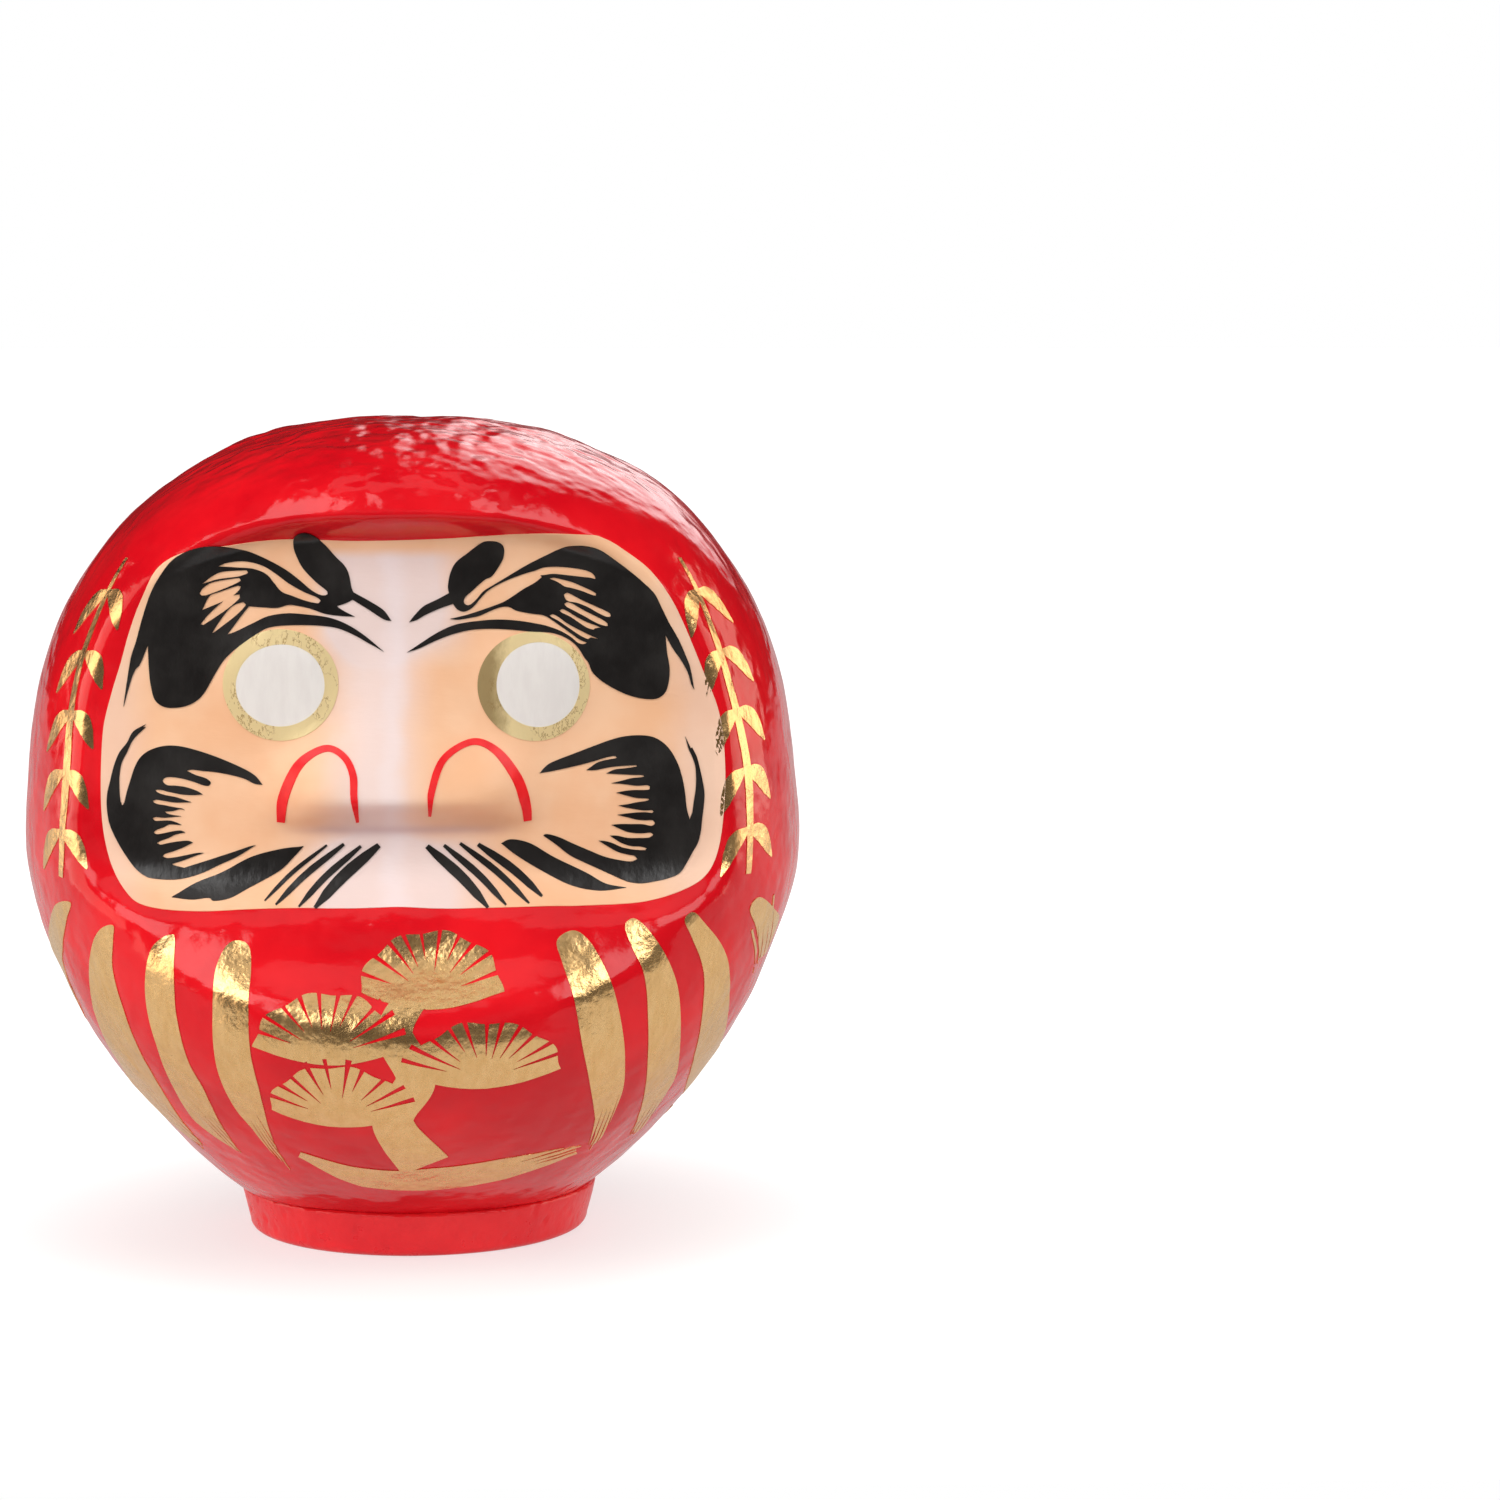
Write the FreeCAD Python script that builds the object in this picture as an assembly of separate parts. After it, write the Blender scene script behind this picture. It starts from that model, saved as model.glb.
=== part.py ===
import FreeCAD, Part
import math
import os

# A daruma doll: a hollow body of moulded paper pulp in two halves, joined at the sides by paper
# strips pasted inside, standing on a round weight of clay that is glued into its open bottom.
# The face, the ribs and the ornaments are coats of paint, each modelled as a thin film that lies
# face to face on what it is painted on.
# The frame is +Z up, the front faces -Y, and the origin is the middle of the foot's underside.

V = FreeCAD.Vector

# The whole doll
HEIGHT = 178.0
WIDTH = 168.0
WIDEST_HEIGHT = 86.0
CROWN_POWER = 2.4
BOWL_POWER = 1.6
BACK_DEPTH = 78.0
SQUARENESS = 0.22
WALL = 2.0

# The front: the belly, the brow ridge and the face that is pressed in between them
BELLY_DEPTH = 82.5
BELLY_HEIGHT = 55.0
FRONT_POWER = 3.5
FACE_HALF_WIDTH = 65.0
FACE_MID_HEIGHT = 103.0
FACE_TOP = 155.5
FACE_BOTTOM = 79.5
FACE_DEPTH = 57.0
FACE_FALL = 6.3
CHIN_SWELL = 7.0
CHIN_HEIGHT = 76.0
SIDE_ROLL = 6.0
CHEST_ROLL = 12.0
BROW_RISE = 3.5
BROW_ABOVE_FACE = 8.5
NOSE_RISE = 8.0
NOSE_TOP = 136.0
NOSE_TIP = 102.0
NOSE_UNDER = 93.5
NOSTRIL_SPREAD = 18.5
NOSTRIL_RISE = 4.0
EYE_SPREAD = 26.0
EYE_HEIGHT = 124.7
EYE_SWELL = 1.5

# The foot, a clay weight with a spigot that goes up into the body
FOOT_HEIGHT = 10.0
FOOT_TOP_RADIUS = 39.0
FOOT_BOTTOM_RADIUS = 37.0
FOOT_EDGE = 1.5
SPIGOT_RADIUS = 33.0
SPIGOT_HEIGHT = 7.0
SPIGOT_CLEARANCE = 0.3
PEG_RADIUS = 5.0

# The joint between the halves, and the strips pasted over it inside
SEAM_Y = 6.0
STRIP_WIDTH = 18.0
STRIP_THICKNESS = 0.6
STRIP_FOOT_GAP = 4.0
CROWN_STRIP_HALF = 34.0

# Paint
FILM = 0.3
EYE_WHITE_RADIUS = 8.8
EYE_RIM_RADIUS = 11.6
NOSTRIL_LINE = 1.8
HAIR_LINE = 1.5
TEETH = 7
PATTERN_HALF_WIDTH = 65.0
PATTERN_TOP = 155.5
PATTERN_BOTTOM = 79.5
RIB_TURNS = (26.0, 38.0, 51.0, 66.0)
RIB_WIDTH = 8.0
RIB_TOP = 74.0
RIB_BOTTOM = 26.0
RIB_STEP_UP = 1.6
SPRIG_TURN = 59.0
SPRIG_TOP = 148.0
SPRIG_BOTTOM = 86.0
SPRIG_LINE = 2.2
LEAF_LENGTH = 11.0
LEAF_WIDTH = 3.4
LEAF_PAIRS = 5
PINE_LINE = 5.0
PAD_HEIGHT = 8.5

# How finely the skin is drawn
LOW_ROWS = 20
HIGH_ROWS = 32
COLUMNS = 72
FRONT_CROWDING = 0.45
CROWN_STOP = 0.985
STEP = 1e-4
FAR = 400.0


def smooth(t):
    t = max(0.0, min(1.0, t))
    return t * t * (3 - 2 * t)


def hill(t):
    return math.exp(-t * t)


def swell(z, widest_height, reach, crown_power):
    """How far the body reaches at a height: a bowl that ends at the foot, under a dome."""
    if z > widest_height:
        rise = min(1.0, (z - widest_height) / (HEIGHT - widest_height))
        return reach * (1 - rise ** crown_power) ** (1 / crown_power)
    foot = (1 - (FOOT_TOP_RADIUS / reach) ** BOWL_POWER) ** (1 / BOWL_POWER)
    fall = (widest_height - z) / (widest_height - FOOT_HEIGHT) * foot
    return reach * (1 - fall ** BOWL_POWER) ** (1 / BOWL_POWER)


def beyond_face(x, z):
    """How far a point lies outside the edge of the face, and how far up its direction points."""
    up = z - FACE_MID_HEIGHT
    reach = FACE_TOP - FACE_MID_HEIGHT if up > 0 else FACE_MID_HEIGHT - FACE_BOTTOM
    power = 3.0 if up > 0 else 4.0
    share = ((abs(x) / FACE_HALF_WIDTH) ** power + (abs(up) / reach) ** power) ** (1 / power)
    away = math.hypot(x, up)
    if share < 1e-6:
        return -FACE_HALF_WIDTH, 0.0
    return away * (1 - 1 / share), up / max(away, 1e-6)


def features(x, z):
    """The nose, its wings and the low domes under the eyes, above the plain of the face."""
    down = max(0.0, min(1.0, (NOSE_TOP - z) / (NOSE_TOP - NOSE_TIP)))
    if z > NOSE_TIP:
        rise = NOSE_RISE * down ** 1.5 * (1.5 - 0.5 * down)
    else:
        rise = NOSE_RISE * smooth((z - NOSE_UNDER) / (NOSE_TIP - NOSE_UNDER))
    half = 8.0 + 10.0 * smooth(down)
    ridge = rise * math.exp(-(abs(x) / half) ** 2.6)
    wing = NOSTRIL_RISE * hill((abs(x) - NOSTRIL_SPREAD) / 7.5) * hill((z - NOSE_TIP - 2) / 8.5)
    wing = wing * smooth((z - NOSE_UNDER) / 5)
    eye = ((abs(x) - EYE_SPREAD) / EYE_RIM_RADIUS) ** 2 + ((z - EYE_HEIGHT) / EYE_RIM_RADIUS) ** 2
    return ridge + wing + EYE_SWELL * hill(eye)


def front_depth(x, z, plain):
    """The front of the body: the plain swell outside the face, and the pressed-in face inside."""
    away, up = beyond_face(x, z)
    roll = SIDE_ROLL + CHEST_ROLL * smooth(-1.6 * up)
    inside = 1 - smooth((away + 1) / (roll + 1))
    chin = CHIN_SWELL * hill((z - CHIN_HEIGHT) / 7)
    face = FACE_DEPTH + 1.5 * smooth((FACE_MID_HEIGHT + 17 - z) / 20) + chin
    face = face - FACE_FALL * (x / FACE_HALF_WIDTH) ** 2 + features(x, z)
    beyond_ridge = away - BROW_ABOVE_FACE
    ridge = BROW_RISE * hill(beyond_ridge / (8.0 if beyond_ridge > 0 else 5.5))
    ridge = ridge * (0.2 + 0.8 * smooth(1.5 * up)) * smooth(2 * (up + 0.5))
    return face * inside + plain * (1 - inside) + ridge


def place(row, turn):
    """A point of the skin. row runs from 0 at the foot to 1 at the crown, turn goes round."""
    low = LOW_ROWS / (LOW_ROWS + HIGH_ROWS)
    if row < low:
        z = FOOT_HEIGHT + (WIDEST_HEIGHT - FOOT_HEIGHT) * max(0.0, row / low) ** 1.25
    else:
        rise = math.sin(math.pi / 2 * CROWN_STOP * (row - low) / (1 - low))
        z = WIDEST_HEIGHT + (HEIGHT - WIDEST_HEIGHT) * rise
    angle = turn - FRONT_CROWDING * math.sin(turn)
    sine, cosine = math.sin(angle), math.cos(angle)
    power = 2 / (2 + SQUARENESS * smooth((z - FOOT_HEIGHT) / 50))
    x = swell(z, WIDEST_HEIGHT, WIDTH / 2, CROWN_POWER) * math.copysign(abs(sine) ** power, sine)
    if cosine < 0:
        return V(x, swell(z, WIDEST_HEIGHT, BACK_DEPTH, CROWN_POWER) * abs(cosine) ** power, z)
    plain = swell(z, BELLY_HEIGHT, BELLY_DEPTH, FRONT_POWER) * cosine ** power
    fade = smooth(cosine / 0.25)
    return V(x, -plain - (front_depth(x, z, plain) - plain) * fade, z)


def outward(row, turn):
    across = place(row, turn + STEP) - place(row, turn - STEP)
    along = place(min(row + STEP, 1.0), turn) - place(max(row - STEP, 0.0), turn)
    normal = across.cross(along)
    normal.normalize()
    return normal


def skin(offset):
    """The closed body whose skin stands off the doll's outer skin by an offset. Its crown ends in
    a small flat, where the dome is level anyway."""
    rows = LOW_ROWS + HIGH_ROWS
    bottom = FOOT_HEIGHT + max(0.0, -offset)
    top = place(1.0, 0.0).z + offset
    poles = []
    for i in range(rows + 1):
        ring = []
        for j in range(COLUMNS):
            turn = 2 * math.pi * j / COLUMNS - math.pi
            point = place(i / rows, turn) + outward(i / rows, turn) * offset
            if i in (0, rows):
                point.z = bottom if i == 0 else top
            ring.append(point)
        poles.append(ring)
    row_knots = [4] + [1] * (rows - 3) + [4]
    turn_knots = [1] * (COLUMNS + 1)
    sheet = Part.BSplineSurface()
    sheet.buildFromPolesMultsKnots(poles, row_knots, turn_knots, list(range(len(row_knots))),
                                   list(range(len(turn_knots))), False, True, 3, 3)
    side = sheet.toShape()
    rims = [e for e in side.Edges if e.BoundBox.ZLength < 0.01 and e.Length > 1]
    shell = Part.Shell([side] + [Part.Face(Part.Wire(e)) for e in rims])
    shell.sewShape()
    body = Part.Solid(shell)
    if body.Volume < 0:
        body.reverse()
    return body


def box(x0, x1, y0, y1, z0, z1):
    return Part.makeBox(x1 - x0, y1 - y0, z1 - z0, V(x0, y0, z0))


def outline(runs, turn=0.0):
    """A block with the given outline, seen from the front and then turned about the doll's axis,
    that reaches from near the axis out past the skin. A run is a line or a smooth curve."""
    edges = []
    for run in runs:
        points = [V(x, 0, z) for x, z in run]
        if len(points) == 2:
            edges.append(Part.LineSegment(points[0], points[1]).toShape())
        else:
            curve = Part.BSplineCurve()
            curve.interpolate(points)
            edges.append(curve.toShape())
    block = Part.Face(Part.Wire(edges)).extrude(V(0, -WIDTH, 0))
    block.rotate(V(0, 0, 0), V(0, 0, 1), turn)
    return block


def stroke(points, widths):
    """The outline of a brush line: it follows the points, and is as wide at each as widths says."""
    left, right = [], []
    for i, (x, z) in enumerate(points):
        x0, z0 = points[max(i - 1, 0)]
        x1, z1 = points[min(i + 1, len(points) - 1)]
        length = math.hypot(x1 - x0, z1 - z0)
        nx, nz = (z0 - z1) / length, (x1 - x0) / length
        left.append((x + nx * widths[i] / 2, z + nz * widths[i] / 2))
        right.append((x - nx * widths[i] / 2, z - nz * widths[i] / 2))
    right.reverse()
    return [left, [left[-1], right[0]], right, [right[-1], left[0]]]


def on_face(runs, side):
    """Stretches runs of the painter's pattern over the face, on its left (-1) or right (1) half."""
    wide = side * FACE_HALF_WIDTH / PATTERN_HALF_WIDTH
    tall = (FACE_TOP - FACE_BOTTOM) / (PATTERN_TOP - PATTERN_BOTTOM)
    return [[(x * wide, FACE_BOTTOM + (z - PATTERN_BOTTOM) * tall) for x, z in run] for run in runs]


def comb(roots, tips):
    """The saw edge of a tuft: straight cuts between points on a root curve and on a tip curve."""
    def along(curve, share):
        spot = share * (len(curve) - 1)
        i = min(int(spot), len(curve) - 2)
        part = spot - i
        return tuple(curve[i][k] + (curve[i + 1][k] - curve[i][k]) * part for k in (0, 1))
    corners = [roots[0]]
    for tooth in range(TEETH):
        corners.append(along(tips, (tooth + 0.5) / TEETH))
        corners.append(along(roots, (tooth + 1) / TEETH))
    return [[a, b] for a, b in zip(corners, corners[1:])]


def brow(side):
    """The crane-shaped brow: a mass with a saw inner edge, a feather in it and a tuft over it."""
    outer = [(1, 131.8), (5.5, 134.2), (11, 136.6), (20, 137.4)]
    pocket = [(20, 137.4), (30, 138.4), (39, 133.5)]
    saw = comb([(39, 133.5), (45, 135.5), (46, 141), (41, 146.5)],
               [(35.5, 137.5), (36.5, 140.5), (35.5, 143), (33, 145.5)])
    top = [(41, 146.5), (31, 148.6), (21, 146.5)]
    crown = [(21, 146.5), (26.5, 150), (36, 153.3), (45.5, 149), (51, 143.5), (58.2, 131), (60.5, 122.5)]
    wisp = [(60.5, 122.5), (57.3, 129), (54, 135)]
    low = [(54, 135), (54.3, 129), (53.6, 124), (50, 121.5), (44, 123), (38.5, 128), (35.5, 133),
           (28.5, 136), (16, 135.5), (8, 133.6), (1, 131.8)]
    mass = outline(on_face([outer, pocket] + saw + [top, crown, wisp, low], side))
    feather = outline(on_face([[(11, 138.4), (15, 140.6), (24, 145.3), (29.5, 146.3)],
                               [(29.5, 146.3), (31, 143), (29, 140.6)],
                               [(29, 140.6), (20, 139.2), (11, 138.4)]], side))
    tuft = outline(on_face([[(2, 138), (5, 140.4), (10, 143.6)],
                            [(10, 143.6), (9, 147), (11.5, 151.5), (17, 154.2), (21, 152.8), (20.5, 149.5),
                             (16, 145.5), (13, 142.4)],
                            [(13, 142.4), (8, 139.7), (2, 138)]], side))
    return [mass, feather, tuft]


def beard(side):
    """The cheek whiskers: a mass round a hollow with a saw edge, and a wisp outside it."""
    upper = [(28, 105.5), (33, 109), (40, 111.8), (47, 113), (53, 111.5), (57, 105.5), (58.8, 98)]
    wisp = [(58.8, 98), (59.8, 103.5), (57, 114.8)]
    outer = [(57, 114.8), (61.3, 107.5), (61.3, 97), (59.5, 90), (55, 85.5), (47.5, 84),
             (39, 86.5), (29.5, 92.5)]
    hollow = [(29.5, 92.5), (36, 90.6), (43, 88.6)]
    saw = comb([(43, 88.6), (49, 90), (51.5, 96), (50, 103), (44.5, 107.6)],
               [(39.5, 91), (42, 94), (43.8, 98.5), (42.5, 102.5), (38.5, 105)])
    under = [(44.5, 107.6), (36, 107), (28, 105.5)]
    return [outline(on_face([upper, wisp, outer, hollow] + saw + [under], side))]


def moustache(side):
    """One broad swept stroke and four thin ones that hang from under the nose."""
    broad = [[(21, 92.4), (26, 91.6), (33, 88), (40, 84.2), (46, 81.8)],
             [(46, 81.8), (39, 81.9), (33, 83.8), (26, 87.8), (21, 92.4)]]
    hairs = [((4.8, 91.8), (17.3, 80.6)), ((8.8, 91.6), (21.3, 80.8)),
             ((12, 92), (25.8, 81)), ((15.8, 92), (29.5, 81.6))]
    blocks = [outline(on_face(broad, side))]
    for (x0, z0), (x1, z1) in hairs:
        bend = ((x0 + x1) / 2 - 0.6, (z0 + z1) / 2 - 0.4)
        line = stroke([(x0, z0), bend, (x1, z1)], [HAIR_LINE / 3, HAIR_LINE, HAIR_LINE / 3])
        blocks.append(outline(on_face(line, side)))
    return blocks


def nostril(side):
    """The red arch that is drawn over a nostril."""
    arch = [(25.2, 97), (24.8, 102), (22.7, 107.5), (19, 111.3), (14.8, 112.9), (10.6, 110.8),
            (8.2, 106.3), (7.7, 98)]
    widths = [NOSTRIL_LINE, NOSTRIL_LINE, NOSTRIL_LINE, NOSTRIL_LINE * 0.8, NOSTRIL_LINE * 0.7,
              NOSTRIL_LINE * 0.7, NOSTRIL_LINE * 0.8, NOSTRIL_LINE * 0.8]
    return [outline(on_face(stroke(arch, widths), side))]


def eye_disc(side, radius):
    return Part.makeCylinder(radius, WIDTH, V(side * EYE_SPREAD, 0, EYE_HEIGHT), V(0, -1, 0))


def face_edge():
    """The outline of the flesh-coloured ground, which fills the pressed-in face."""
    points = []
    for i in range(24):
        angle = 2 * math.pi * i / 24
        up = math.sin(angle)
        reach = FACE_TOP - FACE_MID_HEIGHT if up > 0 else FACE_MID_HEIGHT - FACE_BOTTOM
        power = 2 / (3.0 if up > 0 else 4.0)
        x = FACE_HALF_WIDTH * math.copysign(abs(math.cos(angle)) ** power, math.cos(angle))
        points.append((x, FACE_MID_HEIGHT + reach * math.copysign(abs(up) ** power, up)))
    points.append(points[0])
    return [points[0:13], points[12:]]


def ribs(side):
    """Four brush strokes that follow the curve of the belly, each from the chest down to a point."""
    blocks = []
    for i, turn in enumerate(RIB_TURNS):
        top, bottom = RIB_TOP + RIB_STEP_UP * i, RIB_BOTTOM + RIB_STEP_UP * i
        height = top - bottom
        half = RIB_WIDTH / 2
        right = [(half * 0.35, top), (half * 0.9, top - height * 0.3), (half, top - height * 0.6),
                 (half * 0.15, bottom)]
        left = [(-half * 0.15, bottom), (-half, top - height * 0.55), (-half * 0.9, top - height * 0.2),
                (-half * 0.35, top)]
        runs = [right, [right[-1], left[0]], left, [left[-1], right[0]]]
        blocks.append(outline(runs, side * turn))
    return blocks


def sprig(side):
    """An upright stem with pairs of leaves, in single brush strokes that run together."""
    height = SPRIG_TOP - SPRIG_BOTTOM
    turn = side * SPRIG_TURN
    stem = stroke([(0, SPRIG_TOP), (-1, SPRIG_TOP - height * 0.35), (1, SPRIG_TOP - height * 0.7),
                   (0, SPRIG_BOTTOM)], [SPRIG_LINE * 0.6, SPRIG_LINE, SPRIG_LINE, SPRIG_LINE * 0.6])
    leaves = []
    for i in range(LEAF_PAIRS):
        z = SPRIG_TOP - height * (i + 0.4) / LEAF_PAIRS
        for way in (-1, 1):
            tip = (way * (LEAF_LENGTH * 0.75 + SPRIG_LINE), z - LEAF_LENGTH * 0.66)
            belly = (tip[0] / 2 + way * LEAF_LENGTH * 0.1, (z + tip[1]) / 2 + 1)
            leaf = stroke([(0, z), belly, tip], [LEAF_WIDTH * 0.4, LEAF_WIDTH, LEAF_WIDTH * 0.15])
            leaves.append(outline(leaf, turn))
    return [outline(stem, turn).multiFuse(leaves).removeSplitter()]


def pine_pad(x, z, half_width, lobes):
    """A pad of pine needles: a flat underside and a scalloped top."""
    top = []
    for i in range(lobes):
        a = x - half_width + 2 * half_width * i / lobes
        b = x - half_width + 2 * half_width * (i + 1) / lobes
        bend = 1 - abs((a + b) / 2 - x) / half_width
        base_a = z + PAD_HEIGHT * 0.45 * (1 - abs(a - x) / half_width)
        base_b = z + PAD_HEIGHT * 0.45 * (1 - abs(b - x) / half_width)
        top.append([(a, base_a), ((a + b) / 2, z + PAD_HEIGHT * (0.4 + 0.5 * bend)), (b, base_b)])
    under = [(x + half_width, z), (x, z - PAD_HEIGHT * 0.3), (x - half_width, z)]
    return outline(top + [under])


def pine():
    """A lucky pine in broad strokes: four pads, a bent trunk and a sweep of ground under it."""
    pads = [pine_pad(6, 65, 13, 4), pine_pad(-14, 54.5, 14, 4), pine_pad(16, 49, 15, 5), pine_pad(-12, 40.5, 13, 4)]
    trunk = stroke([(5, 66), (0, 57), (3, 47), (-1, 37), (4, 26)],
                   [PINE_LINE * 0.6, PINE_LINE * 0.8, PINE_LINE, PINE_LINE * 1.1, PINE_LINE * 1.5])
    ground = stroke([(-20, 27), (-8, 22), (8, 21.5), (34, 25)],
                    [PINE_LINE * 0.4, PINE_LINE, PINE_LINE * 1.2, PINE_LINE * 0.4])
    block = pads[0].multiFuse(pads[1:] + [outline(trunk), outline(ground)])
    return [block.removeSplitter()]


def film(coat, blocks):
    """The parts of a coat of paint that lie inside the blocks, as one group of solids."""
    return Part.makeCompound(coat.common(Part.makeCompound(blocks)).Solids)


def foot_weight():
    """The clay foot: a tapered disc with a rounded lower edge, its spigot and the peg hole."""
    top = FOOT_HEIGHT + SPIGOT_HEIGHT
    profile = Part.makePolygon([V(0, 0, 0), V(FOOT_BOTTOM_RADIUS - FOOT_EDGE, 0, 0),
                                V(FOOT_BOTTOM_RADIUS, 0, FOOT_EDGE), V(FOOT_TOP_RADIUS, 0, FOOT_HEIGHT),
                                V(SPIGOT_RADIUS, 0, FOOT_HEIGHT), V(SPIGOT_RADIUS, 0, top), V(0, 0, top),
                                V(0, 0, 0)])
    disc = Part.Face(profile).revolve(V(0, 0, 0), V(0, 0, 1), 360)
    return disc.cut(Part.makeCylinder(PEG_RADIUS, top + 2, V(0, 0, -1)))


outer = skin(0.0)
inner = skin(-WALL)
lining = skin(-WALL - STRIP_THICKNESS)
first = skin(FILM)
second = skin(2 * FILM)

hollow = outer.cut(inner)
hollow = hollow.cut(Part.makeCylinder(SPIGOT_RADIUS + SPIGOT_CLEARANCE, 3 * WALL, V(0, 0, FOOT_HEIGHT - WALL)))
front_half = box(-FAR, FAR, -FAR, SEAM_Y, -FAR, FAR)
rear_half = box(-FAR, FAR, SEAM_Y, FAR, -FAR, FAR)

paste = inner.cut(lining)
strip_foot = FOOT_HEIGHT + SPIGOT_HEIGHT + STRIP_FOOT_GAP
strip_low = SEAM_Y - STRIP_WIDTH / 2
strip_high = SEAM_Y + STRIP_WIDTH / 2

ground_coat = first.cut(outer)
face_block = outline(face_edge())
mark_coat = second.common(face_block).cut(first)

pieces = {
    "front_shell": hollow.common(front_half),
    "rear_shell": hollow.common(rear_half),
    "seam_strip_left": paste.common(box(-FAR, -CROWN_STRIP_HALF, strip_low, strip_high, strip_foot, FAR)),
    "seam_strip_right": paste.common(box(CROWN_STRIP_HALF, FAR, strip_low, strip_high, strip_foot, FAR)),
    "seam_strip_crown": paste.common(box(-CROWN_STRIP_HALF, CROWN_STRIP_HALF, strip_low, strip_high,
                                         WIDEST_HEIGHT, FAR)),
    "foot_weight": foot_weight(),
    "face_ground": film(ground_coat, [face_block]),
    "belly_pine": film(ground_coat, pine()),
}
for name, side in (("left", -1), ("right", 1)):
    white = eye_disc(side, EYE_WHITE_RADIUS)
    rim = eye_disc(side, EYE_RIM_RADIUS).cut(white)
    pieces["eye_white_" + name] = film(mark_coat, [white])
    pieces["eye_rim_" + name] = film(mark_coat, [rim])
    pieces["brow_" + name] = film(mark_coat, brow(side))
    pieces["beard_" + name] = film(mark_coat, beard(side))
    pieces["moustache_" + name] = film(mark_coat, moustache(side))
    pieces["nostril_" + name] = film(mark_coat, nostril(side))
    pieces["ribs_" + name] = film(ground_coat, ribs(side))
    pieces["side_sprig_" + name] = film(ground_coat, sprig(side))

os.makedirs("parts", exist_ok=True)
for name, shape in pieces.items():
    shape.exportStep("parts/" + name + ".step")
    print(name, len(shape.Solids), "solids", round(sum(s.Volume for s in shape.Solids), 1), "mm3")
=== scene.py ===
import math
import random

import bmesh
import bpy
import numpy as np
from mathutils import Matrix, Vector, noise
from mathutils.geometry import delaunay_2d_cdt
from mathutils.kdtree import KDTree


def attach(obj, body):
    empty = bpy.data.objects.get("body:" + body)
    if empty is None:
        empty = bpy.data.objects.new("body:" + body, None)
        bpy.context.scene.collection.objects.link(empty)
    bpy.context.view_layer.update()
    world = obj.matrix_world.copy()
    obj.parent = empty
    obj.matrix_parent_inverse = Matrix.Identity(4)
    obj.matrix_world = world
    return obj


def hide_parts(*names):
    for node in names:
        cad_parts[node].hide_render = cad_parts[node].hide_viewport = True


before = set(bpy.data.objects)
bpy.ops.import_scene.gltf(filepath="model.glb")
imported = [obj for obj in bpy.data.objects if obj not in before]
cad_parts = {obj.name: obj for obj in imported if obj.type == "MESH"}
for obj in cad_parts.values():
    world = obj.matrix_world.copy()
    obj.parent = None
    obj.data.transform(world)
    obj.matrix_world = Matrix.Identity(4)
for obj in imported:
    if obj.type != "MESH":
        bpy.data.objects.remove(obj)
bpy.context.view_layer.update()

# The camera stands a metre in front of the doll, a little above its crown and to its left. The
# painter's marks below were read off a photograph through it, in dots of a frame 1500 wide.
FRAME_DOTS = 1500
LENS_DOTS = 4426.0
CAMERA_PLACE = np.array([42.18, -966.1, 213.1])
CAMERA_DOWN = math.radians(6.4)
CAMERA_ASIDE = math.radians(1.85)
camera = bpy.data.objects.new("camera", bpy.data.cameras.new("camera"))
camera.data.sensor_width = 36.0
camera.data.lens = 36.0 * LENS_DOTS / FRAME_DOTS
camera.location = CAMERA_PLACE / 1000
camera.rotation_euler = (math.pi / 2 - CAMERA_DOWN, 0, -CAMERA_ASIDE)
bpy.context.scene.collection.objects.link(camera)
bpy.context.scene.camera = camera

# The body is moulded paper pulp in two halves, laid in a wooden form, joined at the sides and
# dipped in enamel. Its form is a bowl under a dome, with the face pressed in under a brow ridge.
HEIGHT = 178.0
WIDTH = 168.0
WIDEST_HEIGHT = 86.0
CROWN_POWER = 2.4
BOWL_POWER = 1.6
BACK_DEPTH = 78.0
SQUARENESS = 0.22
WALL = 2.0
SEAM_Y = 6.0
BELLY_DEPTH = 82.5
BELLY_HEIGHT = 55.0
FRONT_POWER = 3.5
FACE_HALF_WIDTH = 65.0
FACE_MID = 103.0
FACE_TOP = 155.5
FACE_BOTTOM = 79.5
FACE_DEPTH = 57.0
FACE_FALL = 6.3
FACE_EDGE_ROLL = 7.0
CHEST_ROLL = 18.0
CHIN_SWELL = 7.0
CHIN_HEIGHT = 76.0
BROW_RISE = 3.2
BROW_ABOVE_FACE = 12.0
NOSE_RISE = 8.0
NOSE_TOP = 136.0
NOSE_TIP = 102.0
NOSE_UNDER = 93.5
NOSTRIL_RISE = 4.0
NOSTRIL_SPREAD = 18.5
EYE_SWELL = 1.5
EYE_REACH = 11.6
EYE_SPREAD = 26.0
EYE_HEIGHT = 124.7
FOOT_HEIGHT = 10.0
FOOT_RADIUS = 39.0
SPIGOT_BORE = 33.3


def smooth(t):
    t = np.clip(t, 0, 1)
    return t * t * (3 - 2 * t)


def hill(t):
    return np.exp(-t * t)


def swell(z, widest, reach, crown_power):
    """How far the body reaches at a height: a bowl that ends at the foot, under a dome."""
    rise = np.clip((z - widest) / (HEIGHT - widest), 0, 1)
    dome = reach * (1 - rise ** crown_power) ** (1 / crown_power)
    foot = (1 - (FOOT_RADIUS / reach) ** BOWL_POWER) ** (1 / BOWL_POWER)
    fall = np.clip((widest - z) / (widest - FOOT_HEIGHT), 0, 1) * foot
    return np.where(z > widest, dome, reach * (1 - fall ** BOWL_POWER) ** (1 / BOWL_POWER))


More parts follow.
